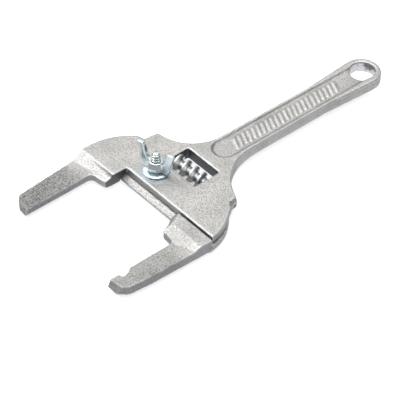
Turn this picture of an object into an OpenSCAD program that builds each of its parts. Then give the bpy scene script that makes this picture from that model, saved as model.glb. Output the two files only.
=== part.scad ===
// Adjustable slip-nut wrench: a cast handle with one fixed hooked jaw, and a second
// hooked jaw that slides across the head, driven by a worm and held by a wing nut.
// Millimetres. Origin on the hang hole axis, half way through the handle.
// +X runs from the hang hole to the jaw tips, +Y from the fixed jaw to the sliding jaw.

/* [Handle] */
// Hang hole axis to where the head starts to flare
handle_len = 126.7; // [100:0.1:170]
// Width of the handle where it meets the head
handle_w = 24; // [20:0.2:28]
// Width of the handle at its waist, behind the rounded end
waist_w = 23; // [20:0.2:27]
// Diameter of the rounded end round the hang hole
handle_end_d = 29; // [27:0.5:33]
// Distance from the hang hole axis to the end of the handle
end_reach = 13.4; // [12:0.2:16]
// Thickness of the handle, and of the whole head
body_t = 10; // [8:0.5:13]
// Diameter of the hang hole
hang_hole_d = 18.5; // [12:0.5:20]
// Width of the raised rim along each side of the handle
rim_w = 3.4; // [2:0.1:4]
// Depth of the sunk panel on each face of the handle
panel_depth = 1.6; // [1:0.1:2.5]

/* [Head] */
// Radius of the concave flare from the handle to the head
flare_r = 30; // [22:0.1:34]
// Radius of the flare on the sliding jaw's side
slide_flare_r = 43.8; // [38:0.1:46]
// How much nearer to the hang hole the flare starts on that side
flare_lead = 10.4; // [8:0.1:14]
// Slope of the rear of the boss on that side, in degrees
boss_slope = 19; // [12:1:24]
// How much further the boss stands out on that side
boss_out = 2; // [0:0.1:3]
// Bevel on the end of the boss on that side
boss_bevel = 2.5; // [0.5:0.1:3.5]
// Width across the two pin bosses
boss_w = 88; // [80:1:96]
// Length of the pin bosses along the handle
boss_len = 11.4; // [10:0.2:14]
// Head length, from the rear of the bosses to the front face of the plate
head_len = 41; // [39:0.5:50]
// Width across the head plate
plate_w = 128.4; // [120:1:160]
// Radius of the plate's rounded rear corners
plate_corner_r = 43.3; // [36:0.5:52]
// Radius of the notch between each boss and the plate
notch_r = 2.2; // [1.8:0.1:3]
// Width of the worm window across the head
window_w = 33.1; // [30:0.5:40]
// Room behind the worm for the thumb
thumb_gap = 4.2; // [4.1:0.1:4.8]
// Thickness of the head plate over the sliding bar
plate_t = 5.6; // [4.5:0.1:6.5]

/* [Fixed jaw] */
// Reach of the jaws in front of the head plate
jaw_reach = 78.4; // [66:1:95]
// Centre line of the head to the inner edge of the fixed jaw
fixed_inner = 42.6; // [39:0.2:50]
// Centre line of the head to the fixed jaw's lip
fixed_lip = 28.5; // [24:0.5:34]
// How far each lip stands in front of the head plate
lip_reach = 19; // [16:0.5:24]
// How far the top of each ramp stands in front of the head plate
ramp_reach = 12.3; // [10:0.1:14]
// Slope of the end faces of both jaws, in degrees
tip_angle = 24; // [0:1:35]
// Angle at which the fixed jaw's ramp crosses the jaw, in degrees
ramp_skew = 7.6; // [0:0.2:10]
// Height of the fixed jaw, and of the sliding jaw at its inner edge
jaw_t = 5.9; // [4.8:0.1:7.2]

/* [Sliding jaw] */
// Distance between the inner edges of the two jaws as the wrench is set here
opening = 89.2; // [80:0.5:94]
// Width of the sliding jaw's arm
arm_w = 18.8; // [15:0.5:22]
// How much higher the sliding jaw is at its outer edge than at its inner edge
arm_rise = 2; // [0:0.1:3]
// Slope of the ramps from the head down to the jaws, in degrees
ramp_angle = 24; // [16:1:30]
// Slope of the chamfer on the inner side of the sliding jaw's root, in degrees
shoulder_angle = 43; // [35:1:50]
// Angle at which that chamfer crosses the root, in degrees
shoulder_skew = 24; // [10:1:26]
// Gap between the front face of the plate and the root of the sliding jaw
root_gap = 1.6; // [0.6:0.1:2.5]
// How far the sliding bar stands in front of the plate
bar_ledge = 4.9; // [3:0.1:6]
// Travel of the jaw from here to its closed end
travel_close = 44; // [30:1:48]
// Travel of the jaw from here to its open end
travel_open = 4; // [1:0.5:6]

/* [Worm] */
// Outer diameter of the worm
worm_d = 13.2; // [12:0.1:14.5]
// Diameter of the worm's core
worm_core_d = 7.8; // [7:0.1:8.6]
// Pitch of the worm and of the rack
worm_pitch = 8.2; // [7:0.1:9.4]
// Length of the threaded part of the worm
worm_len = 29; // [24:0.5:30]
// Height of the worm axis above the middle of the handle
worm_z = -1.3; // [-1.8:0.1:-0.6]
// Diameter of the pin that the worm turns on
pin_d = 4; // [3:0.1:5]

/* [Lock] */
// Diameter of the lock bolt
bolt_d = 6.35; // [5:0.05:8]
// Distance of the lock bolt behind the front face of the plate
bolt_back = 13.8; // [13:0.1:15]
// Distance of the lock bolt from the centre line, towards the fixed jaw
bolt_side = 12.7; // [9:0.1:16]
// Height of the lock bolt above the head plate
bolt_rise = 16.4; // [14:0.1:24]
// Outer diameter of the flat washer
washer_d = 20; // [16:0.5:22]
// Thickness of the flat washer
washer_t = 1.6; // [1.2:0.1:2]
// Height of the wing nut's hub
hub_h = 8; // [6:0.1:10]
// Span across the tips of the wing nut
wing_span = 32; // [26:0.5:36]
// Height of the wings above the washer
wing_h = 19.8; // [14:0.1:22]

/* [Hidden] */

cast_zinc = [0.80, 0.79, 0.77];
bright_zinc = [0.76, 0.80, 0.82];

// Gaps between pieces that move past each other
slide_gap = 0.3;
run_gap = 0.05;

// Heights
top_z = body_t / 2;
bottom_z = -body_t / 2;
plate_under_z = top_z - plate_t;
bar_top_z = plate_under_z - slide_gap;
bar_t = bar_top_z - bottom_z;
ledge_z = bottom_z + bar_t / 2;

// Stations along the handle
head_x = handle_len + flare_r;
worm_x = head_x + boss_len / 2;
boss_front_x = head_x + boss_len;
boss_end = boss_w / 2 + boss_out;
plate_x = head_x + head_len;
ledge_x = plate_x + bar_ledge;
ramp_x = plate_x + ramp_reach;
lip_x = plate_x + lip_reach;
tip_x = plate_x + jaw_reach;

// Worm, rack and the channel that the bar slides in
worm_r = worm_d / 2;
core_r = worm_core_d / 2;
thread_top_w = 0.42 * worm_pitch;
thread_flank = 0.3;
thread_root_w = thread_top_w + 2 * thread_flank * (worm_r - core_r);
rack_clear = 0.45;
rack_tip_gap = 0.35;
rack_base_x = worm_x + worm_r + rack_tip_gap;
rack_tip_x = worm_x + core_r + rack_tip_gap;
rack_z = (bar_top_z + bottom_z) / 2;
mesh_r = (worm_r + core_r) / 2;
mesh_angle = 90 + asin((worm_z - rack_z) / mesh_r);
lead_angle = atan(worm_pitch / (2 * PI * mesh_r));
worm_end_gap = 0.4;
worm_y = -window_w / 2 + worm_end_gap;
thread_y = worm_y + 1.27 * worm_pitch;
rack_y = thread_y + worm_pitch * (mesh_angle / 360 + 0.5);
channel_rear_x = rack_tip_x - rack_clear;
window_rear_x = worm_x - worm_r - thumb_gap;
window_front_x = worm_x + worm_r + thumb_gap + 1;

// Sliding jaw
sliding_inner = opening - fixed_inner;
sliding_outer = sliding_inner + arm_w;
sliding_lip = sliding_inner - 15;
bar_tail = fixed_lip + 2.5;
bar_end = sliding_outer + 1.6;
bar_corner_r = plate_corner_r - 1.1;
root_x = plate_x + root_gap;
fixed_outer = plate_w / 2;

// Lock bolt, washer and wing nut
bolt_x = plate_x - bolt_back;
bolt_y = -bolt_side;
neck_w = bolt_d + 0.15;
slot_w = neck_w + 2 * slide_gap;
bolt_head_r = 6.6;
head_slot_w = 2 * (bolt_head_r + slide_gap + 0.1);
bolt_head_t = 0.45 * bar_t;
head_slot_t = bolt_head_t + slide_gap;
nut_z = top_z + washer_t;
stud_z = top_z + bolt_rise;
hub_foot_r = bolt_d / 2 + 2.8;
hub_swell_r = bolt_d / 2 + 4.3;
hub_swell_z = 0.38 * hub_h;
hub_top_r = bolt_d / 2 + 1.5;
wing_t = 3;
wing_turn = 12.5;
reach = 200;

// Points of a polygon whose corners [x, y, radius] are rounded by arcs
function unit(v) = v / norm(v);
function turned(c, r, a, b, n) =
    let (sweep = (b - a + 540) % 360 - 180)
    [for (i = [0:n]) c + r * [cos(a + sweep * i / n), sin(a + sweep * i / n)]];
function round_corner(before, at, after, r, n) =
    let (a = unit(before - at), b = unit(after - at))
    let (half = acos(a * b) / 2)
    let (c = at + unit(a + b) * r / sin(half))
    let (p = at + a * r / tan(half) - c, q = at + b * r / tan(half) - c)
    turned(c, r, atan2(p.y, p.x), atan2(q.y, q.x), n);
function flat(p) = [p.x, p.y];
function rounded(pts, n = 8) =
    [for (i = [0:len(pts) - 1])
        let (before = flat(pts[(i + len(pts) - 1) % len(pts)]), after = flat(pts[(i + 1) % len(pts)]))
        each (pts[i][2] > 0 ? round_corner(before, flat(pts[i]), after, pts[i][2], n) : [flat(pts[i])])];

// An arc through the rear corner of the plate or bar, from x to its front end
function corner_arc(front_x, width, r, from_x, n = 14) =
    let (start = 180 - acos((front_x - from_x) / r))
    [for (i = [0:n]) [front_x, width - r] + r * [cos(start + (90 - start) * i / n),
                                                 sin(start + (90 - start) * i / n)]];
function reversed(pts) = [for (i = [len(pts) - 1:-1:0]) pts[i]];
function mirrored(pts) = [for (p = reversed(pts)) [p.x, -p.y]];

// One side of the head plate without the jaw. The flare starts early by the lead, its
// arc ends short by the slope, and the boss's front meets the plate's corner at the neck.
function head_side(r, lead, slope, boss_y, neck, arc_x) =
    let (flare = turned([handle_len - lead, handle_w / 2 + r], r, -90, -slope, 16))
    let (from = flare[len(flare) - 1])
    let (corner_x = from.x + (boss_y - from.y) * tan(slope))
    concat(
        [[handle_len - lead - 8, handle_w / 2]],
        flare,
        rounded([[from.x, from.y, 0], [corner_x, boss_y, 2.5], [neck.x, boss_y, 0]]),
        [neck],
        corner_arc(plate_x + 5, plate_w / 2, plate_corner_r, arc_x),
        [[plate_x + 5, plate_w / 2]]);

module slab(pts, z0, z1) {
    translate([0, 0, z0]) linear_extrude(z1 - z0) polygon(pts);
}

// Everything above a jaw: its ramp down from the head, then its tilted upper face
module jaw_relief(side, inner, skew, tilt) {
    intersection() {
        translate([ramp_x, side * plate_w / 2, top_z]) rotate([0, 0, skew]) rotate([0, ramp_angle, 0])
            translate([0, -reach, 0]) cube([reach, 2 * reach, reach]);
        translate([ramp_x, side * inner, bottom_z + jaw_t]) rotate([side * tilt, 0, 0])
            translate([0, -reach / 2, 0]) cube([reach, reach, reach]);
    }
}

// Everything beyond the sloping end faces of the jaws
module tip_relief() {
    translate([tip_x, -reach, bottom_z]) rotate([0, -tip_angle, 0])
        translate([0, 0, -body_t]) cube([body_t, 2 * reach, 3 * body_t]);
}

module handle_blank() {
    end_r = handle_end_d / 2;
    end_x = end_r - end_reach;
    waist_x = 0.36 * handle_len;
    lean = asin((end_r - waist_w / 2) / (waist_x - end_x));
    side = [[end_x + end_r * sin(lean), end_r * cos(lean)], [waist_x, waist_w / 2],
            [handle_len, handle_w / 2]];
    translate([end_x, 0, bottom_z]) cylinder(h = body_t, r = end_r, $fn = 96);
    slab(concat(mirrored(side), side), bottom_z, top_z);
}

// The sunk panel runs into the hang hole at one end and is round at the other
module handle_panel(z0) {
    half = handle_w / 2 - rim_w;
    end_r = half + 0.8;
    end_x = handle_len + 5;
    slab([[0, -half], [end_x, -end_r], [end_x, end_r], [0, half]], z0, z0 + panel_depth + 1);
    translate([end_x, 0, z0]) cylinder(h = panel_depth + 1, r = end_r, $fn = 96);
}

// A row of slanted grip ribs on the floor of the upper panel
module panel_ribs() {
    rib_h = 0.6 * panel_depth;
    rib_w = 1.8;
    half = 0.55 * (handle_w / 2 - rim_w);
    lean = 2.2;
    for (x = [26:4.3:handle_len - 4])
        slab([[x - lean, -half], [x + rib_w - lean, -half], [x + rib_w + lean, half], [x + lean, half]],
             top_z - panel_depth - 0.1, top_z - panel_depth + rib_h);
}

module head_blank() {
    fixed_side = head_side(flare_r, 0, 0, boss_w / 2, [boss_front_x, boss_w / 2 + 0.1], boss_front_x + 1.5);
    sliding_side = head_side(slide_flare_r, flare_lead, boss_slope, boss_end,
                             [boss_front_x - 1.8, boss_end + 2], boss_front_x + 10);
    difference() {
        slab(concat(mirrored(fixed_side), sliding_side), bottom_z, top_z);
        for (flip = [0, 1]) mirror([0, 0, flip])
            translate([head_x - 10, boss_end - boss_bevel, top_z]) rotate([-45, 0, 0])
                cube([boss_len + 7.5, body_t, body_t]);
    }
}

// The fixed jaw's hook, from the front corner of the plate to its tip
module fixed_jaw_blank() {
    slab(rounded([[plate_x + 5, -fixed_outer, 0],
                  [plate_x - 8, 4 - fixed_outer, 0],
                  [plate_x - 8, -fixed_lip, 0],
                  [lip_x - 0.4, -fixed_lip, 1.8],
                  [lip_x + 1.2, -fixed_inner, 3.6],
                  [tip_x, -fixed_inner, 1],
                  [tip_x - 0.6, -fixed_inner - 7.2, 4],
                  [tip_x - 6, 5.9 - fixed_outer, 5],
                  [ramp_x + 6, 1.6 - fixed_outer, 10],
                  [ramp_x - 1, -fixed_outer, 6]]), bottom_z, top_z);
}

module body() {
    color(cast_zinc) difference() {
        union() {
            difference() {
                union() {
                    handle_blank();
                    head_blank();
                }
                handle_panel(top_z - panel_depth);
                handle_panel(bottom_z - 1);
                // the front of the plate ends where the jaw root passes
                translate([plate_x, -fixed_lip, bottom_z - 1]) cube([reach, reach, body_t + 2]);
            }
            panel_ribs();
            fixed_jaw_blank();
        }
        // hang hole
        translate([0, 0, bottom_z - 1]) cylinder(h = body_t + 2, d = hang_hole_d, $fn = 96);
        // notch in front of one pin boss, and a dimple in front of the other
        translate([boss_front_x - 1.2, -boss_w / 2 - 2.4, bottom_z - 1])
            cylinder(h = body_t + 2, r = notch_r, $fn = 48);
        translate([boss_front_x - 2, boss_end + 1.6, 1])
            cylinder(h = body_t, r = 0.7 * notch_r, $fn = 48);
        // window over the worm
        translate([window_rear_x, -window_w / 2, bottom_z - 1])
            cube([window_front_x - window_rear_x, window_w, body_t + 2]);
        // channel under the plate, open below and at both sides, with the bar's sloping front
        rotate([90, 0, 0]) translate([0, 0, -reach]) linear_extrude(2 * reach)
            polygon([[channel_rear_x, bottom_z - 1], [channel_rear_x, plate_under_z],
                     [plate_x + 1, plate_under_z], [ledge_x + 0.4, ledge_z + 0.3],
                     [ledge_x + 0.4, bottom_z - 1]]);
        // bore for the worm pin, through both bosses
        translate([worm_x, 0, worm_z]) rotate([90, 0, 0])
            cylinder(h = boss_w + 10, d = pin_d, center = true, $fn = 48);
        // hole for the lock bolt
        translate([bolt_x, bolt_y, bottom_z]) cylinder(h = body_t + 1, r = bolt_d / 2 + 0.3, $fn = 48);
        jaw_relief(-1, fixed_inner, ramp_skew, 0);
        tip_relief();
    }
}

// One rack tooth, leaning by the lead angle of the worm
module rack_tooth(y) {
    tip = worm_pitch - thread_root_w - 2 * rack_clear;
    base = worm_pitch - thread_top_w - 2 * rack_clear;
    translate([0, y, rack_z]) rotate([lead_angle, 0, 0]) linear_extrude(3 * bar_t, center = true)
        polygon([[rack_base_x + 0.5, -base / 2], [rack_tip_x, -tip / 2],
                 [rack_tip_x, tip / 2], [rack_base_x + 0.5, base / 2]]);
}

// The flat bar under the head plate, with its rack and its slots for the lock bolt
module sliding_bar() {
    end = corner_arc(ledge_x + 2.4, bar_end, bar_corner_r, rack_base_x);
    plan = concat([[rack_base_x, -bar_tail], [ledge_x, -bar_tail], [ledge_x, bar_end]],
                  reversed([for (p = end) if (p.x < ledge_x - 1) p]));
    rack_first = ceil((-bar_tail + 4 - rack_y) / worm_pitch);
    rack_last = floor((bar_end - bar_corner_r + 22 - rack_y) / worm_pitch);
    slot_back = bolt_y - travel_open - slot_w / 2 - slide_gap;
    slot_front = bolt_y + travel_close + slot_w / 2 + slide_gap;
    difference() {
        intersection() {
            union() {
                slab(plan, bottom_z, bar_top_z);
                for (i = [rack_first:rack_last]) rack_tooth(rack_y + i * worm_pitch);
            }
            rotate([90, 0, 0]) translate([0, 0, -reach]) linear_extrude(2 * reach)
                polygon([[rack_tip_x - 1, bottom_z], [ledge_x, bottom_z], [ledge_x, ledge_z],
                         [plate_x + 0.8, bar_top_z], [rack_tip_x - 1, bar_top_z]]);
        }
        translate([bolt_x - slot_w / 2, slot_back, bottom_z - 1])
            cube([slot_w, slot_front - slot_back, bar_t + 2]);
        head_run_back = bolt_y - travel_open;
        head_run_front = bolt_y + travel_close;
        for (y = [head_run_back, head_run_front]) translate([bolt_x, y, bottom_z - 1])
            cylinder(h = head_slot_t + 1, d = head_slot_w, $fn = 64);
        translate([bolt_x - head_slot_w / 2, head_run_back, bottom_z - 1])
            cube([head_slot_w, head_run_front - head_run_back, head_slot_t + 1]);
    }
}

// Root, lip and arm of the sliding jaw
module sliding_hook() {
    shoulder_y = sliding_lip - 1.8;
    difference() {
        slab(rounded([[root_x, sliding_outer + 0.9, 0.6],
                      [root_x, sliding_lip - 4.3, 0],
                      [ledge_x + 2, sliding_lip - 4.3, 1.5],
                      [lip_x - 6, sliding_lip + 0.6, 5],
                      [lip_x + 0.9, sliding_lip + 2.6, 3],
                      [lip_x + 1.6, sliding_inner, 2.6],
                      [tip_x - 20.4, sliding_inner, 2],
                      [tip_x - 15.6, sliding_inner + 3.2, 2],
                      [tip_x - 11, sliding_inner + 4.6, 0.8],
                      [tip_x - 10.4, sliding_inner + 0.7, 0.6],
                      [tip_x, sliding_inner + 0.3, 1],
                      [tip_x, sliding_outer - 8.8, 3],
                      [tip_x - 6.5, sliding_outer - 2.6, 8],
                      [tip_x - 26, sliding_outer - 0.8, 40]]), bottom_z, top_z);
        jaw_relief(1, sliding_inner, 0, atan(arm_rise / arm_w));
        tip_relief();
        translate([plate_x, shoulder_y, top_z]) rotate([0, 0, shoulder_skew]) rotate([shoulder_angle, 0, 0])
            translate([-20, -reach, 0]) cube([60, reach, reach]);
    }
}

module sliding_jaw() {
    color(cast_zinc) union() {
        sliding_bar();
        sliding_hook();
    }
}

// A right-hand thread of trapezoid section, wound round the Y axis
module worm_thread() {
    steps = 36;
    turns = ceil(worm_len / worm_pitch) + 2;
    y0 = thread_y - 2 * worm_pitch;
    sunk = 0.5;
    root_half = thread_root_w / 2 + sunk * thread_flank;
    section = [[core_r - sunk, -root_half], [worm_r, -thread_top_w / 2],
               [worm_r, thread_top_w / 2], [core_r - sunk, root_half]];
    rings = steps * turns;
    pts = [for (i = [0:rings]) each [for (s = section)
        let (a = 360 * i / steps)
        [s[0] * sin(a), y0 + worm_pitch * i / steps + s[1], s[0] * cos(a)]]];
    sides = [for (i = [0:rings - 1]) each [for (k = [0:3])
        let (p = 4 * i + k, q = 4 * i + (k + 1) % 4) each [[p, q, p + 4], [q, q + 4, p + 4]]]];
    last = 4 * rings;
    ends = [[3, 2, 1, 0], [last, last + 1, last + 2, last + 3]];
    polyhedron(pts, concat(sides, ends), convexity = 8);
}

module worm() {
    color(cast_zinc) translate([worm_x, 0, worm_z]) difference() {
        union() {
            translate([0, worm_y, 0]) rotate([-90, 0, 0])
                cylinder(h = window_w - 2 * worm_end_gap, r = core_r, $fn = 64);
            intersection() {
                worm_thread();
                translate([-worm_d, worm_y, -worm_d]) cube([2 * worm_d, worm_len, 2 * worm_d]);
            }
        }
        rotate([90, 0, 0]) cylinder(h = 2 * window_w, d = pin_d + 2 * run_gap, center = true, $fn = 48);
    }
}

module worm_pin() {
    color(bright_zinc) translate([worm_x, 0, worm_z]) rotate([90, 0, 0])
        cylinder(h = boss_w, d = pin_d, center = true, $fn = 48);
}

// Round head under the bar, square neck in the bar's slot, stud up through the plate
module lock_bolt() {
    chamfer = 0.8;
    shank_r = bolt_d / 2;
    neck_top_z = bar_top_z - 0.1;
    color(bright_zinc) translate([bolt_x, bolt_y, 0]) union() {
        translate([0, 0, bottom_z + 0.1]) cylinder(h = bolt_head_t - 0.1, r = bolt_head_r, $fn = 64);
        translate([-neck_w / 2, -neck_w / 2, bottom_z + 0.5])
            cube([neck_w, neck_w, neck_top_z - bottom_z - 0.5]);
        translate([0, 0, bottom_z + 1])
            cylinder(h = stud_z - bottom_z - 1 - chamfer, r = shank_r, $fn = 64);
        translate([0, 0, stud_z - chamfer])
            cylinder(h = chamfer, r1 = shank_r, r2 = shank_r - chamfer, $fn = 64);
    }
}

module flat_washer() {
    color(bright_zinc) translate([bolt_x, bolt_y, top_z]) difference() {
        cylinder(h = washer_t, d = washer_d, $fn = 96);
        translate([0, 0, -1]) cylinder(h = washer_t + 2, r = bolt_d / 2 + 0.4, $fn = 64);
    }
}

// One wing in the plane of the hub's axis, rising from the hub to its rounded tip
module wing() {
    span = wing_span / 2;
    rotate([90, 0, 0]) linear_extrude(wing_t, center = true) polygon(rounded([
        [hub_top_r - 1, 0.8, 0],
        [0.6 * span, 0.03 * wing_h, 2],
        [0.8 * span, 0.26 * wing_h, 6],
        [span, wing_h, 2.2],
        [0.62 * span, 0.98 * wing_h, 2],
        [0.54 * span, 0.5 * wing_h, 5],
        [hub_top_r - 0.6, 0.9 * hub_h, 0]]));
}

module wing_nut() {
    color(bright_zinc) translate([bolt_x, bolt_y, nut_z]) difference() {
        union() {
            cylinder(h = hub_swell_z, r1 = hub_foot_r, r2 = hub_swell_r, $fn = 64);
            translate([0, 0, hub_swell_z])
                cylinder(h = hub_h - hub_swell_z, r1 = hub_swell_r, r2 = hub_top_r, $fn = 64);
            for (a = [0, 180]) rotate([0, 0, 90 + wing_turn + a]) wing();
        }
        translate([0, 0, -1]) cylinder(h = hub_h + 30, r = bolt_d / 2 + run_gap, $fn = 64);
    }
}

body();
sliding_jaw();
worm();
worm_pin();
lock_bolt();
flat_washer();
wing_nut();
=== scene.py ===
"""Cast slip-nut wrench: zinc-plated castings, a coarse worm, and a bright zinc lock bolt,
washer and wing nut. Metres. +X runs to the jaw tips, +Y to the sliding jaw, +Z up."""

import math

import bmesh
import bpy
import numpy as np
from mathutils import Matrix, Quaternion, Vector


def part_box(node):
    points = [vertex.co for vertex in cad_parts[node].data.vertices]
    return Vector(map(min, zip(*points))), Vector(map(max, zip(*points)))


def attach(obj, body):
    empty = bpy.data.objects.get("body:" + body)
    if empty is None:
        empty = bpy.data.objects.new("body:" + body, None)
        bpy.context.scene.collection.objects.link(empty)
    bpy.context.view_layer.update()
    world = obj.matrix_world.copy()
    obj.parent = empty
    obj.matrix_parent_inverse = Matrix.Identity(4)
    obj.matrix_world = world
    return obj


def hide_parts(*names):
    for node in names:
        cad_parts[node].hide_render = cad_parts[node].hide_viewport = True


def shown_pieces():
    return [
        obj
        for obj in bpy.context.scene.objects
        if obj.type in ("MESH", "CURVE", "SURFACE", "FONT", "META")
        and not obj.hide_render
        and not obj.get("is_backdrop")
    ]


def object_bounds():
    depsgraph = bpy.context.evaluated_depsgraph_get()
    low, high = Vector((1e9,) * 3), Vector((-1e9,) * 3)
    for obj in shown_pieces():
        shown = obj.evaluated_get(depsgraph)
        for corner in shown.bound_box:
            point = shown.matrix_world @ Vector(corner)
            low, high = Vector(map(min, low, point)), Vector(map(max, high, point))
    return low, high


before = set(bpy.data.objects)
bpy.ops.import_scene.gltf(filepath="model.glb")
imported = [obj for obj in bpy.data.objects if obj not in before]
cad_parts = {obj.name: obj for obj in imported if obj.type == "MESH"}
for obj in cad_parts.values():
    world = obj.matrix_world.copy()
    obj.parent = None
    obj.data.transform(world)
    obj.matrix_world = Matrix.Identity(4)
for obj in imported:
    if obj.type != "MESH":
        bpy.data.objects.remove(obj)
cad_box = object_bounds()

MM = 0.001

# Where the lock bolt, the worm and the wing nut stand, from the CAD nodes
washer_low, washer_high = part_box("flat_washer")
bolt_low, bolt_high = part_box("lock_bolt")
worm_low, worm_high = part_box("worm")
nut_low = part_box("wing_nut")[0]
BOLT_AXIS = (washer_low + washer_high) / 2
WORM_AXIS = (worm_low + worm_high) / 2

# ---------------------------------------------------------------- camera, light and floor

VIEW_TURN = math.radians(139.665)
VIEW_RISE = math.radians(42.802)
VIEW_ROLL = math.radians(0.115)
VIEW_AIM = Vector((0.16166, 0.0082, -0.02189))
VIEW_DISTANCE = 1.80267
VIEW_LENS = 230.54

# Soft lights: name, turn and rise in degrees, size and power. All are this far from the aim.
LIGHT_DISTANCE = 3.0
LIGHTS = (
    ("flat_light", 320, 50, 3.4, 19.5),
    ("ramp_light", 26, 48, 1.8, 37),
    ("overhead_light", 0, 88, 2.0, 38),
)

# The room's tone below and above its horizon, and the heights that it changes between
ROOM_BELOW = (0.84, 0.85, 0.88)
ROOM_ABOVE = (0.34, 0.34, 0.34)
HORIZON = (-0.2, 0.1)

FLOOR_HALF = 12
FLOOR_GAP = 0.02 * MM
PAPER_TONE = (0.93, 0.93, 0.93, 1)
PAPER_GLOW = 0.6


def direction(turn, rise):
    """The way towards a point seen at that turn round the object and that rise above it."""
    flat = math.cos(rise)
    return Vector((math.sin(turn) * flat, -math.cos(turn) * flat, math.sin(rise)))


def make_camera():
    back = direction(VIEW_TURN, VIEW_RISE)
    data = bpy.data.cameras.new("camera")
    data.lens = VIEW_LENS
    data.clip_start, data.clip_end = 0.1, 50
    camera = bpy.data.objects.new("camera", data)
    bpy.context.scene.collection.objects.link(camera)
    camera.location = VIEW_AIM + back * VIEW_DISTANCE
    camera.rotation_mode = "QUATERNION"
    camera.rotation_quaternion = Quaternion(back, VIEW_ROLL) @ (-back).to_track_quat("-Z", "Y")
    bpy.context.scene.camera = camera


def softbox(name, turn, rise, size, power):
    """A square soft light aimed at the head of the wrench."""
    data = bpy.data.lights.new(name, "AREA")
    data.shape = "SQUARE"
    data.size = size
    data.energy = power
    light = bpy.data.objects.new(name, data)
    bpy.context.scene.collection.objects.link(light)
    way = direction(math.radians(turn), math.radians(rise))
    light.location = VIEW_AIM + way * LIGHT_DISTANCE
    light.rotation_mode = "QUATERNION"
    light.rotation_quaternion = (-way).to_track_quat("-Z", "Y")


def make_studio():
    """A dim room over a bright table: pale and slightly cool below, darker above."""
    world = bpy.data.worlds.new("studio")
    world.use_nodes = True
    t = Tree(world.node_tree)
    way = t.add("ShaderNodeTexCoord").outputs["Generated"]
    height = t.add("ShaderNodeSeparateXYZ", {0: way}).outputs[2]
    tone = mix_colour(t, spread(t, height, *HORIZON), ROOM_BELOW, ROOM_ABOVE)
    t.feed(world.node_tree.nodes["Background"].inputs["Color"], tone)
    return world


def make_floor():
    bm = bmesh.new()
    bmesh.ops.create_grid(bm, x_segments=1, y_segments=1, size=FLOOR_HALF)
    mesh = bpy.data.meshes.new("floor")
    bm.to_mesh(mesh)
    bm.free()
    floor = new_object("floor", mesh)
    floor.location = (VIEW_AIM.x, VIEW_AIM.y, cad_box[0].z - FLOOR_GAP)
    paper = bpy.data.materials.new("white_paper")
    paper.use_nodes = True
    surface = paper.node_tree.nodes["Principled BSDF"]
    surface.inputs["Base Color"].default_value = PAPER_TONE
    surface.inputs["Roughness"].default_value = 0.9
    surface.inputs["Specular IOR Level"].default_value = 0.1
    surface.inputs["Emission Color"].default_value = (1, 1, 1, 1)
    surface.inputs["Emission Strength"].default_value = PAPER_GLOW
    mesh.materials.append(paper)
    floor.visible_glossy = False
    floor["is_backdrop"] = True


def make_surroundings():
    scene = bpy.context.scene
    scene.view_settings.view_transform = "Standard"
    scene.world = make_studio()
    for light in LIGHTS:
        softbox(*light)
    make_floor()


# ---------------------------------------------------------------- mesh helpers


def new_object(name, mesh):
    obj = bpy.data.objects.new(name, mesh)
    bpy.context.scene.collection.objects.link(obj)
    return obj


def applied(obj, name):
    """The object with its modifiers applied, as a new object."""
    deps = bpy.context.evaluated_depsgraph_get()
    mesh = bpy.data.meshes.new_from_object(obj.evaluated_get(deps))
    mesh.name = name
    old = obj.data
    bpy.data.objects.remove(obj)
    bpy.data.meshes.remove(old)
    return new_object(name, mesh)


def even_mesh(obj, voxel, name):
    """Remeshes a closed shape, or several that overlap, into one even skin."""
    even = obj.modifiers.new("even", "REMESH")
    even.mode = "VOXEL"
    even.voxel_size = voxel
    even.adaptivity = 0
    return applied(obj, name)


def points_of(mesh):
    co = np.zeros(len(mesh.vertices) * 3)
    mesh.vertices.foreach_get("co", co)
    return co.reshape(-1, 3)


def set_points(mesh, co):
    mesh.vertices.foreach_set("co", np.ascontiguousarray(co, dtype=np.float32).ravel())
    mesh.update()


def normals_of(mesh):
    normals = np.zeros(len(mesh.vertices) * 3)
    mesh.vertices.foreach_get("normal", normals)
    return normals.reshape(-1, 3)


class Neighbours:
    """Which points of a mesh share an edge."""

    def __init__(self, mesh):
        edges = np.zeros(len(mesh.edges) * 2, int)
        mesh.edges.foreach_get("vertices", edges)
        self.count = len(mesh.vertices)
        self.near = np.bincount(edges, minlength=self.count).clip(1)
        self.a, self.b = edges.reshape(-1, 2).T

    def mean(self, values):
        """The mean of one value over each point's neighbours."""
        return (np.bincount(self.a, values[self.b], self.count)
                + np.bincount(self.b, values[self.a], self.count)) / self.near

    def middle(self, co):
        """The middle of each point's neighbours."""
        return np.stack([self.mean(co[:, k]) for k in range(3)], 1)


def relax(mesh, passes, weight=1.0):
    """Draws each point half way to the middle of its neighbours, which rounds edges."""
    co, beside = points_of(mesh), Neighbours(mesh)
    share = 0.5 * np.broadcast_to(np.asarray(weight, float), len(co))
    for _ in range(passes):
        co = co + share[:, None] * (beside.middle(co) - co)
    set_points(mesh, co)
    return co


LUMP_CELLS = 32


def lumps(points, size, seed):
    """Smooth random heights from 0 to 1, with lumps of about that size."""
    table = np.random.default_rng(seed).random((LUMP_CELLS, LUMP_CELLS, LUMP_CELLS))
    q = points / size
    low = np.floor(q).astype(int)
    f = q - low
    f = f * f * (3 - 2 * f)
    total = np.zeros(len(points))
    for corner in range(8):
        step = np.array([corner & 1, corner >> 1 & 1, corner >> 2 & 1])
        weight = np.prod(np.where(step, f, 1 - f), axis=1)
        at = (low + step) % LUMP_CELLS
        total += weight * table[at[:, 0], at[:, 1], at[:, 2]]
    return total


def ease(x, low, high):
    """0 below the low value, 1 above the high one, and a smooth step between."""
    t = np.clip((x - low) / (high - low), 0, 1)
    return t * t * (3 - 2 * t)


def write_attribute(mesh, name, values):
    layer = mesh.attributes.new(name, "FLOAT", "POINT")
    layer.data.foreach_set("value", np.asarray(values, np.float32))


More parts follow.
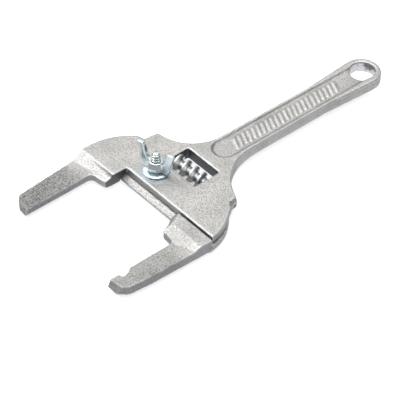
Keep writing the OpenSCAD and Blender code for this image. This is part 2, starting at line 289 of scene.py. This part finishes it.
def mark_edges(mesh):
    """Stores how far each point stands out or lies in: for worn edges that also carry a painted
    highlight, and for painted shade in hollows.
    """
    co, beside = points_of(mesh), Neighbours(mesh)
    out = ((co - beside.middle(co)) * normals_of(mesh)).sum(1)
    for _ in range(2):
        out = beside.mean(out)
    scale = np.percentile(np.abs(out), 97)
    write_attribute(mesh, "edge", np.clip(out / scale, 0, 1))
    write_attribute(mesh, "corner", np.clip(-out / scale, 0, 1))


def steepness(mesh):
    """1 where the skin is a wall, 0 where it is flat or gently sloped."""
    return 1 - ease(np.abs(normals_of(mesh)[:, 2]), 0.25, 0.6)


def shade(mesh, angle=None):
    mesh.shade_smooth()
    if angle is not None:
        mesh.set_sharp_from_angle(angle=math.radians(angle))


# ---------------------------------------------------------------- castings
# Places on the castings are in mm, in the shared frame.

BODY_VOXEL = 0.64 * MM
JAW_VOXEL = 0.46 * MM

# Height of the skin's relief in mm: fine sand everywhere, coarse sand, and slow waves
FINE_SAND, COARSE_SAND, WAVES = 0.04, 0.20, 0.12
SAND_SIZE, WAVE_SIZE = 1.5 * MM, 9 * MM
SKIN_INSET = 0.08

# Where the jaws' ramps end and their rougher arms begin
ARM_START = (219, 231)
TIP_START = (240, 270)

# Outline corners of the body that are rounder than the rest: place and reach
SOFT_CORNERS = ((156.7, -44.0, 7.0), (157.5, 46.0, 5.0), (216.3, -28.5, 5.0))


def casting(node, name, voxel, passes):
    """A cast copy of a CAD node, with an even skin and rounded edges."""
    bm = bmesh.new()
    bm.from_mesh(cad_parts[node].data)
    bmesh.ops.remove_doubles(bm, verts=bm.verts, dist=0.001 * MM)
    mesh = bpy.data.meshes.new(name)
    bm.to_mesh(mesh)
    bm.free()
    piece = even_mesh(new_object(name, mesh), voxel, name)
    relax(piece.data, passes)
    return piece


def sand_skin(mesh, coarse, seed):
    """Sinks the skin in by a little at random, as sand casting leaves it."""
    co = points_of(mesh)
    sand = (FINE_SAND + COARSE_SAND * coarse) * (lumps(co, SAND_SIZE, seed) - 0.5)
    depth = sand + WAVES * (lumps(co, WAVE_SIZE, seed + 1) - 0.5) - SKIN_INSET
    set_points(mesh, co + normals_of(mesh) * (depth * MM)[:, None])


def round_lower_handle(mesh):
    """Rounds the lower edges of the handle and of its end, as the mould leaves them."""
    x, y, z = points_of(mesh).T / MM
    low = 1 - ease(z, -4.2, -0.5)
    side = ease(np.abs(y), 7.6, 9.0) * (1 - ease(x, 112, 126))
    end = ease(np.hypot(x, y), 10.2, 11.4) * (x < 0)
    relax(mesh, 30, low * np.maximum(side, end))


def soften_corners(mesh):
    """Rounds the soft outline corners in plan, and the top of the fixed jaw's ramp."""
    before = points_of(mesh)
    x, y, z = before.T / MM
    near = np.zeros(len(before))
    for corner_x, corner_y, reach in SOFT_CORNERS:
        away = np.hypot(x - corner_x, y - corner_y)
        near = np.maximum(near, 1 - ease(away, 0.5 * reach, reach))
    after = relax(mesh, 24, near)
    after[:, 2] = before[:, 2]
    set_points(mesh, after)
    ramp_top = (1 - ease(np.abs(x - 212.5), 2.5, 4.5)) * (y < -20) * (z > 2.5)
    relax(mesh, 10, ramp_top)


def make_body():
    piece = casting("body", "body_casting", BODY_VOXEL, 2)
    mesh = piece.data
    on_handle = 1 - ease(points_of(mesh)[:, 0] / MM, 132, 142)
    round_lower_handle(mesh)
    soften_corners(mesh)
    relax(mesh, 4, on_handle)
    x, y, z = points_of(mesh).T / MM
    coarse = 0.25 + 0.75 * ease(x, *ARM_START) + 0.3 * ease(x, *TIP_START)
    sand_skin(mesh, coarse, 11)
    mark_edges(mesh)
    write_attribute(mesh, "coarse", coarse)
    # Painted reflection: a bluish tint on the top face round the bolt, out to just beyond the
    # washer, as the washer would mirror there.
    from_bolt = np.hypot(x - BOLT_AXIS.x / MM, y - BOLT_AXIS.y / MM)
    write_attribute(mesh, "washer_reflection", (1 - ease(from_bolt, 13.0, 14.8)) * (z > 4.5))
    # Painted shade: the worm window's walls and the fixed jaw's pocket wall are darkened to near
    # black, where shade falls.
    window = (x > 151.2) & (x < 174.6) & (np.abs(y) < 17.0) & (z < 4.5)
    pocket = (x > 198) & (x < 217.5) & (y > -29.6) & (y < -27) & (z < 4.4)
    write_attribute(mesh, "painted_recess_shade", np.where(window, 1.0, np.where(pocket, 0.85, 0.0)))
    steep = steepness(mesh)
    # Painted shade: steep walls are darkened towards a cool grey, less so on the handle.
    write_attribute(mesh, "wall", steep * (1 - 0.8 * on_handle))
    # Painted highlights and shade: the hang hole's bore wall gets patches of near white and near
    # black, and a lower roughness.
    write_attribute(mesh, "hole_bore", (np.hypot(x, y) < 9.7) * steep)
    shade(mesh)
    return piece


def make_sliding_jaw():
    piece = casting("sliding_jaw", "sliding_jaw_casting", JAW_VOXEL, 3)
    mesh = piece.data
    coarse = 0.32 + 0.4 * ease(points_of(mesh)[:, 0] / MM, *ARM_START)
    sand_skin(mesh, coarse, 23)
    mark_edges(mesh)
    write_attribute(mesh, "coarse", coarse)
    # Painted shade: the jaw's steep walls are darkened towards a cool grey.
    write_attribute(mesh, "wall", steepness(mesh))
    shade(mesh)
    return piece


# ---------------------------------------------------------------- threads, by Geometry Nodes


class Tree:
    """A node tree under construction, with short ways to add and join nodes."""

    def __init__(self, tree):
        self.tree = tree

    def feed(self, socket, value):
        """Joins another node's socket to this one, or sets it to a constant."""
        if isinstance(value, bpy.types.NodeSocket):
            self.tree.links.new(value, socket)
        else:
            socket.default_value = value

    def add(self, kind, inputs=(), **settings):
        made = self.tree.nodes.new(kind)
        for key, value in settings.items():
            setattr(made, key, value)
        for key, value in dict(inputs).items():
            self.feed(made.inputs[key], value)
        return made

    def math(self, operation, *terms):
        made = self.add("ShaderNodeMath", dict(enumerate(terms)), operation=operation)
        return made.outputs[0]


# Below this a bore counts as none, and points as one
TINY = 1e-6
# A point radius wider than the rod leaves its end square
NO_POINT = 1.0
THREAD_INPUTS = (
    ("Length", "NodeSocketFloat", 0.03),
    ("Core Radius", "NodeSocketFloat", 0.004),
    ("Crest Radius", "NodeSocketFloat", 0.006),
    ("Bore Radius", "NodeSocketFloat", 0.0),
    ("Pitch", "NodeSocketFloat", 0.008),
    ("Start", "NodeSocketFloat", 0.0),
    ("Crest Share", "NodeSocketFloat", 0.3),
    ("Root Share", "NodeSocketFloat", 0.6),
    ("Point Radius", "NodeSocketFloat", NO_POINT),
    ("Rings", "NodeSocketInt", 90),
    ("Sides", "NodeSocketInt", 64),
    ("Turn", "NodeSocketVector", (0.0, 0.0, 0.0)),
    ("Place", "NodeSocketVector", (0.0, 0.0, 0.0)),
    ("Finish", "NodeSocketMaterial", None),
)


def thread_radius(t, given, along, turn):
    """The radius at a place along the rod and at a turn round it, in whole turns."""
    phase = t.math("SUBTRACT", t.math("DIVIDE", along, given["Pitch"]), turn)
    phase = t.math("FRACT", t.math("ADD", phase, given["Start"]))
    away = t.math("MULTIPLY", t.math("ABSOLUTE", t.math("SUBTRACT", phase, 0.5)), 2.0)
    flank = t.add("ShaderNodeMapRange", {
        "Value": away, "From Min": given["Crest Share"], "From Max": given["Root Share"],
        "To Min": given["Crest Radius"], "To Max": given["Core Radius"]},
        interpolation_type="SMOOTHSTEP")
    left = t.math("SUBTRACT", given["Length"], along)
    cone = t.math("ADD", given["Point Radius"], left)
    return t.math("MINIMUM", flank.outputs[0], cone)


def thread_tree():
    """A right-hand threaded rod or sleeve along Z: a sheet of rings rolled round the axis.
    Rings at both ends of the sheet lie on the bore, or on the axis, and close the ends."""
    tree = bpy.data.node_groups.new("threaded_rod", "GeometryNodeTree")
    tree.interface.new_socket("Geometry", in_out="OUTPUT", socket_type="NodeSocketGeometry")
    for label, kind, value in THREAD_INPUTS:
        socket = tree.interface.new_socket(label, in_out="INPUT", socket_type=kind)
        if value is not None:
            socket.default_value = value
    t = Tree(tree)
    given = t.add("NodeGroupInput").outputs
    rings = t.math("ADD", given["Rings"], 4.0)
    sheet = t.add("GeometryNodeMeshGrid", {
        "Size X": 1.0, "Size Y": 1.0, "Vertices X": rings,
        "Vertices Y": t.math("ADD", given["Sides"], 1.0)})
    at = t.add("ShaderNodeSeparateXYZ", {0: t.add("GeometryNodeInputPosition").outputs[0]})
    ring = t.math("MULTIPLY", t.math("ADD", at.outputs[0], 0.5), t.math("SUBTRACT", rings, 1.0))
    ring = t.math("ROUND", ring)
    turn = t.math("ADD", at.outputs[1], 0.5)
    share = t.add("ShaderNodeMapRange", {
        "Value": ring, "From Min": 2.0, "From Max": t.math("SUBTRACT", rings, 2.0)})
    along = t.math("MULTIPLY", share.outputs[0], given["Length"])
    hollow = t.math("GREATER_THAN", given["Bore Radius"], TINY)
    first = t.math("MULTIPLY", t.math("LESS_THAN", ring, 0.5), hollow)
    height = t.math("ADD", along, t.math("MULTIPLY", first, given["Length"]))
    outside = thread_radius(t, given, along, turn)
    last = t.math("GREATER_THAN", ring, t.math("SUBTRACT", rings, 1.5))
    inner = t.math("MAXIMUM", t.math("LESS_THAN", ring, 1.5), last)
    radius = t.math("ADD", t.math("MULTIPLY", t.math("SUBTRACT", 1.0, inner), outside),
                    t.math("MULTIPLY", inner, given["Bore Radius"]))
    angle = t.math("MULTIPLY", turn, 2 * math.pi)
    rolled = t.add("ShaderNodeCombineXYZ", {
        0: t.math("MULTIPLY", radius, t.math("COSINE", angle)),
        1: t.math("MULTIPLY", radius, t.math("SINE", angle)), 2: height})
    moved = t.add("GeometryNodeSetPosition", {
        "Geometry": sheet.outputs["Mesh"], "Position": rolled.outputs[0]})
    closed = t.add("GeometryNodeMergeByDistance", {
        "Geometry": moved.outputs[0], "Distance": TINY})
    outward = t.add("GeometryNodeFlipFaces", {"Mesh": closed.outputs[0]})
    placed = t.add("GeometryNodeTransform", {
        "Geometry": outward.outputs[0], "Translation": given["Place"], "Rotation": given["Turn"]})
    real = t.add("GeometryNodeRealizeInstances", {"Geometry": placed.outputs[0]})
    finished = t.add("GeometryNodeSetMaterial", {
        "Geometry": real.outputs[0], "Material": given["Finish"]})
    t.add("NodeGroupOutput", {0: finished.outputs[0]})
    return tree


def threaded(name, tree, **values):
    """A mesh made by the thread tree with these inputs."""
    obj = new_object(name, bpy.data.meshes.new(name))
    made = obj.modifiers.new("thread", "NODES")
    made.node_group = tree
    sockets = {s.name: s.identifier for s in tree.interface.items_tree if s.item_type == "SOCKET"}
    for label, value in values.items():
        made[sockets[label.replace("_", " ")]] = value
    return applied(obj, name)


def mark_roots(mesh, centre, axis, low, high, end):
    """Stores how deep each point before the end lies in a thread, by its distance from the
    thread's axis: 1 up to the low radius, 0 beyond the high one."""
    co = points_of(mesh)
    away = co - np.array(centre)
    away[:, axis] = 0
    depth = 1 - ease(np.linalg.norm(away, axis=1), low, high)
    write_attribute(mesh, "root", depth * (co[:, axis] < end))


# ---------------------------------------------------------------- turned and cut shapes


def lathe(bm, profile, centre, steps=64):
    """Adds a closed shape turned from (radius, height) points in mm round a vertical axis."""
    rings = []
    for radius, height in profile:
        angles = [2 * math.pi * i / steps for i in range(steps)] if radius > 0 else [0]
        rings.append([
            bm.verts.new(centre + MM * Vector((radius * math.cos(a), radius * math.sin(a), height)))
            for a in angles])
    pairs = list(zip(rings, rings[1:]))
    if len(rings[0]) > 1 and len(rings[-1]) > 1:
        pairs.append((rings[-1], rings[0]))
    for lower, upper in pairs:
        for i in range(steps):
            j = (i + 1) % steps
            corners = dict.fromkeys((
                lower[i % len(lower)], lower[j % len(lower)],
                upper[j % len(upper)], upper[i % len(upper)]))
            if len(corners) > 2:
                bm.faces.new(list(corners))


def block(bm, low, high, bevel):
    made = bmesh.ops.create_cube(bm, size=1)["verts"]
    size, middle = high - low, (low + high) / 2
    for v in made:
        v.co = Vector((v.co.x * size.x, v.co.y * size.y, v.co.z * size.z)) + middle
    edges = {e for v in made for e in v.link_edges}
    bmesh.ops.bevel(bm, geom=list(edges), offset=bevel, segments=2, affect="EDGES")


def from_bmesh(bm, name):
    bmesh.ops.recalc_face_normals(bm, faces=bm.faces)
    mesh = bpy.data.meshes.new(name)
    bm.to_mesh(mesh)
    bm.free()
    return new_object(name, mesh)


def joined(name, objects):
    """One object with the meshes of several."""
    bm = bmesh.new()
    for obj in objects:
        bm.from_mesh(obj.data)
    mesh = bpy.data.meshes.new(name)
    bm.to_mesh(mesh)
    bm.free()
    for obj in objects:
        old = obj.data
        bpy.data.objects.remove(obj)
        bpy.data.meshes.remove(old)
    return new_object(name, mesh)


def on_bolt_axis(height):
    return Vector((BOLT_AXIS.x, BOLT_AXIS.y, height))


def make_washer():
    inner, outer, thick, lip = 3.6, 10, 1.6, 0.35
    bm = bmesh.new()
    lathe(bm, [
        (inner + lip, 0), (outer - lip, 0), (outer - 0.1 * lip, 0.3 * lip), (outer, lip),
        (outer, thick - 2 * lip), (outer - 0.4 * lip, thick - 0.6 * lip),
        (outer - 1.6 * lip, thick), (inner + lip, thick), (inner, thick - lip), (inner, lip),
    ], on_bolt_axis(washer_low.z), 96)
    piece = from_bmesh(bm, "washer")
    shade(piece.data, 35)
    return piece


def make_bolt(tree, finish):
    """The carriage bolt: low round head, square neck and threaded stud."""
    head_r, head_t = 6.6, 1.75
    neck_half, neck_bevel = 3.2 * MM, 0.3 * MM
    neck_foot, neck_top = 1.25 * MM, 4.0 * MM
    core = 2.3 * MM
    foot = on_bolt_axis(bolt_low.z)
    bm = bmesh.new()
    lathe(bm, [
        (0, 0), (0.55 * head_r, 0.05), (0.88 * head_r, 0.35), (head_r, 0.95),
        (head_r, head_t), (0, head_t),
    ], foot)
    block(bm, foot + Vector((-neck_half, -neck_half, neck_foot)),
          foot + Vector((neck_half, neck_half, neck_top)), neck_bevel)
    head = from_bmesh(bm, "bolt_head")
    shade(head.data, 35)
    start = foot.z + 3.5 * MM
    stud = threaded(
        "stud", tree, Length=bolt_high.z - start, Core_Radius=core, Crest_Radius=3.17 * MM,
        Pitch=2.2 * MM, Crest_Share=0.16, Root_Share=0.84, Point_Radius=0.86 * core,
        Rings=180, Sides=48, Place=(foot.x, foot.y, start), Finish=finish)
    shade(stud.data, 50)
    piece = joined("carriage_bolt", [stud, head])
    mark_roots(piece.data, foot, 2, 2.4 * MM, 3.0 * MM, bolt_high.z - 1.2 * MM)
    return piece


def make_worm(tree, finish):
    """The thumb worm: a coarse right-hand thread with a plain hub at its far end."""
    thread_len, overlap = 29 * MM, 0.5 * MM
    hub_r = 3.9 * MM
    hub_y = worm_low.y + thread_len - overlap
    shared = {"Bore_Radius": 2.05 * MM, "Sides": 72, "Turn": (-math.pi / 2, 0, 0), "Finish": finish}
    thread = threaded(
        "worm_thread", tree, Length=thread_len, Core_Radius=3.5 * MM, Crest_Radius=6.6 * MM,
        Pitch=8.2 * MM, Start=0.98, Crest_Share=0.14, Root_Share=0.56, Rings=120,
        Place=(WORM_AXIS.x, worm_low.y, WORM_AXIS.z), **shared)
    hub = threaded(
        "worm_hub", tree, Length=worm_high.y - hub_y, Core_Radius=hub_r, Crest_Radius=hub_r,
        Rings=6, Place=(WORM_AXIS.x, hub_y, WORM_AXIS.z), **shared)
    for part in (thread, hub):
        shade(part.data, 50)
    piece = joined("thumb_worm", [thread, hub])
    mark_roots(piece.data, WORM_AXIS, 1, 3.6 * MM, 5.0 * MM, worm_high.y)
    return piece


# Hub of the wing nut as (radius, height), and one wing as (distance from the axis, height),
# both in mm above the washer
NUT_BORE = 3.3
NUT_HUB = (
    (NUT_BORE, 0.1), (5.4, 0.1), (5.7, 0.9), (6.6, 1.8), (7.1, 3.0), (6.9, 4.4), (5.9, 6.0),
    (5.1, 7.3), (4.8, 8.0), (NUT_BORE, 8.0))
WING = (
    (3.9, 1.2), (7.6, 1.0), (9.8, 0.9), (11.2, 2.5), (12.5, 5.0), (13.6, 7.9), (14.5, 11.1),
    (15.3, 14.6), (15.95, 17.9), (15.5, 19.4), (13.6, 19.4), (11.4, 19.4), (10.2, 19.0),
    (9.6, 16.9), (9.0, 14.1), (8.3, 11.2), (7.2, 9.0), (3.9, 7.4))
WING_TURN = math.radians(102.5)
# Half the wing's thickness at its root, how much it loses, and the height where that stops
WING_HALF, WING_TAPER, TAPER_END = 2.1, 0.55, 12
NUT_VOXEL = 0.28 * MM


def add_wing(bm, foot, turn):
    way = Vector((math.cos(turn), math.sin(turn), 0))
    across = Vector((-way.y, way.x, 0))
    sides = []
    for s in (1, -1):
        ring = []
        for out, up in WING:
            half = s * (WING_HALF - WING_TAPER * min(1, up / TAPER_END))
            ring.append(bm.verts.new(foot + MM * (way * out + across * half + Vector((0, 0, up)))))
        sides.append(ring)
    bm.faces.new(sides[0])
    bm.faces.new(list(reversed(sides[1])))
    for i in range(len(WING)):
        j = (i + 1) % len(WING)
        bm.faces.new([sides[0][j], sides[0][i], sides[1][i], sides[1][j]])


def make_wing_nut():
    """The wing nut: a full round hub with two rounded wings, as one forged skin."""
    foot = on_bolt_axis(nut_low.z)
    bm = bmesh.new()
    lathe(bm, NUT_HUB, foot, 72)
    for half_turn in (0, math.pi):
        add_wing(bm, foot, WING_TURN + half_turn)
    piece = even_mesh(from_bmesh(bm, "wing_nut_forged"), NUT_VOXEL, "wing_nut_forged")
    relax(piece.data, 14)
    mark_edges(piece.data)
    shade(piece.data)
    return piece


# ---------------------------------------------------------------- finishes

# Tones of the zinc-plated castings
CAST_LIGHT = (0.66, 0.65, 0.63)
CAST_DARK = (0.54, 0.532, 0.518)
PIT_TONE = (0.16, 0.158, 0.155)
# Cool grey, for the painted shade on walls
WALL_SHADE_TONE = (0.30, 0.305, 0.32)
# Near black and near white, for the painted shade and highlights in the hang hole's bore
BORE_SHADE_TONE = (0.13, 0.135, 0.135)
BORE_GLINT_TONE = (0.86, 0.87, 0.87)
# Bluish grey, for the painted reflection of the washer
WASHER_REFLECTION_TONE = (0.50, 0.55, 0.60)
# Near white, for worn edges with a painted highlight, and dark grey, for the painted shade in
# hollows
EDGE_WEAR_HIGHLIGHT_TONE = (0.86, 0.86, 0.855)
CORNER_SHADE_TONE = (0.26, 0.26, 0.26)
# Near black, for the painted shade in the worm window and the jaw pocket
RECESS_SHADE_TONE = (0.055, 0.065, 0.068)


def finish_material(name):
    """A metal material, its tree, its surface, and its places on the object."""
    material = bpy.data.materials.new(name)
    material.use_nodes = True
    tree = material.node_tree
    tree.nodes.clear()
    t = Tree(tree)
    surface = t.add("ShaderNodeBsdfPrincipled")
    surface.inputs["Metallic"].default_value = 1.0
    t.add("ShaderNodeOutputMaterial", {"Surface": surface.outputs[0]})
    return material, t, surface, t.add("ShaderNodeTexCoord").outputs["Object"]


def mix_colour(t, share, a, b):
    made = t.add("ShaderNodeMix", data_type="RGBA", blend_type="MIX")
    t.feed(made.inputs["Factor"], share)
    for socket, value in ((made.inputs[6], a), (made.inputs[7], b)):
        t.feed(socket, (*value, 1) if isinstance(value, tuple) else value)
    return made.outputs[2]


def spread(t, value, low, high, to_low=0.0, to_high=1.0):
    return t.add("ShaderNodeMapRange", {"Value": value, "From Min": low, "From Max": high,
                                        "To Min": to_low, "To Max": to_high}).outputs[0]


def noise(t, place, scale, detail, roughness=0.5):
    return t.add("ShaderNodeTexNoise", {
        "Vector": place, "Scale": scale, "Detail": detail, "Roughness": roughness}).outputs[0]


def stored(t, name):
    return t.add("ShaderNodeAttribute", attribute_name=name).outputs["Fac"]


def cast_zinc(name):
    """Zinc plate over a sand-cast skin: cloudy grey, fine pits, bright worn edges with a painted
    highlight, and painted shade, highlights and reflections mixed in.
    """
    material, t, surface, place = finish_material(name)
    cloud = noise(t, place, 55.0, 3.0)
    grain = noise(t, place, 950.0, 2.5, 0.6)
    fine = noise(t, place, 1700.0, 1.0)
    coarse, edge, hole_bore = stored(t, "coarse"), stored(t, "edge"), stored(t, "hole_bore")
    plate = mix_colour(t, spread(t, cloud, 0.35, 0.65), CAST_DARK, CAST_LIGHT)
    pits = spread(t, grain, 0.37, 0.54, 1.0, 0.0)
    deep = t.math("MULTIPLY", pits, t.math("MULTIPLY_ADD", coarse, 0.62, 0.28))
    plate = mix_colour(t, deep, plate, PIT_TONE)
    bore_glints_and_shade = mix_colour(t, spread(t, cloud, 0.47, 0.55), BORE_SHADE_TONE, BORE_GLINT_TONE)
    # Painted light mixed into the plate colour: shade on walls, highlights and shade in the hang
    # hole's bore, a reflection of the washer, highlights on worn edges, shade in hollows, and
    # near-black shade in the worm window and jaw pocket.
    for mask, strength, tone in (
            (stored(t, "wall"), 0.7, WALL_SHADE_TONE), (hole_bore, 0.85, bore_glints_and_shade),
            (stored(t, "washer_reflection"), 0.6, WASHER_REFLECTION_TONE), (edge, 0.4, EDGE_WEAR_HIGHLIGHT_TONE),
            (stored(t, "corner"), 0.4, CORNER_SHADE_TONE), (stored(t, "painted_recess_shade"), 0.85, RECESS_SHADE_TONE)):
        plate = mix_colour(t, t.math("MULTIPLY", mask, strength), plate, tone)
    rough = spread(t, grain, 0.3, 0.7, 0.5, 0.36)
    rough = t.math("SUBTRACT", rough, t.math("MULTIPLY", edge, 0.08))
    rough = t.math("SUBTRACT", rough, t.math("MULTIPLY", hole_bore, 0.26))
    bump = t.add("ShaderNodeBump", {
        "Strength": 1.0, "Distance": t.math("MULTIPLY_ADD", coarse, 0.00125, 0.00012),
        "Height": t.math("MULTIPLY_ADD", fine, 0.4, grain)})
    t.feed(surface.inputs["Base Color"], plate)
    t.feed(surface.inputs["Roughness"], rough)
    t.feed(surface.inputs["Normal"], bump.outputs[0])
    return material


def bright_zinc(name, light, dark, rough_low, rough_high, root_shade_tone=(0.07, 0.085, 0.09)):
    """Bright zinc plate with fine handling marks, and painted shade in the thread roots."""
    material, t, surface, place = finish_material(name)
    cloud = noise(t, place, 160.0, 3.0)
    marks = noise(t, place, 1400.0, 3.0, 0.65)
    colour = mix_colour(t, spread(t, cloud, 0.38, 0.62), dark, light)
    # Painted shade: the thread roots darken towards the root tone.
    colour = mix_colour(t, t.math("MULTIPLY", stored(t, "root"), 0.85), colour, root_shade_tone)
    bump = t.add("ShaderNodeBump", {"Strength": 0.25, "Distance": 0.00006, "Height": marks})
    t.feed(surface.inputs["Base Color"], colour)
    t.feed(surface.inputs["Roughness"], spread(t, marks, 0.3, 0.7, rough_high, rough_low))
    t.feed(surface.inputs["Normal"], bump.outputs[0])
    return material


# ---------------------------------------------------------------- the wrench

make_camera()
make_surroundings()

CAST = cast_zinc("sand_cast_zinc")
BRIGHT = bright_zinc("bright_blue_zinc", (0.89, 0.96, 0.97), (0.72, 0.84, 0.86), 0.12, 0.24)
# The worm's thread roots get a lighter painted shade.
WORM_ZINC = bright_zinc("worm_zinc", (0.88, 0.88, 0.875), (0.74, 0.74, 0.735), 0.32, 0.46,
                        (0.27, 0.29, 0.30))
WASHER_ZINC = bright_zinc("washer_zinc", (0.66, 0.75, 0.78), (0.5, 0.59, 0.63), 0.2, 0.36)
PIN_STEEL = bright_zinc("pin_steel", (0.56, 0.56, 0.56), (0.44, 0.44, 0.44), 0.28, 0.42)

thread = thread_tree()


def finish_piece(piece, body, node, material):
    piece.data.materials.clear()
    piece.data.materials.append(material)
    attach(piece, body)
    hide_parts(node)


finish_piece(make_body(), "frame", "body", CAST)
finish_piece(make_sliding_jaw(), "jaw", "sliding_jaw", CAST)
finish_piece(make_worm(thread, WORM_ZINC), "worm", "worm", WORM_ZINC)
finish_piece(make_bolt(thread, BRIGHT), "frame", "lock_bolt", BRIGHT)
finish_piece(make_washer(), "frame", "flat_washer", WASHER_ZINC)
finish_piece(make_wing_nut(), "wing_nut", "wing_nut", BRIGHT)

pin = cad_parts["worm_pin"]
pin.data.materials.clear()
pin.data.materials.append(PIN_STEEL)

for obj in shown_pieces():
    print("piece", obj.name, len(obj.data.polygons), "faces")
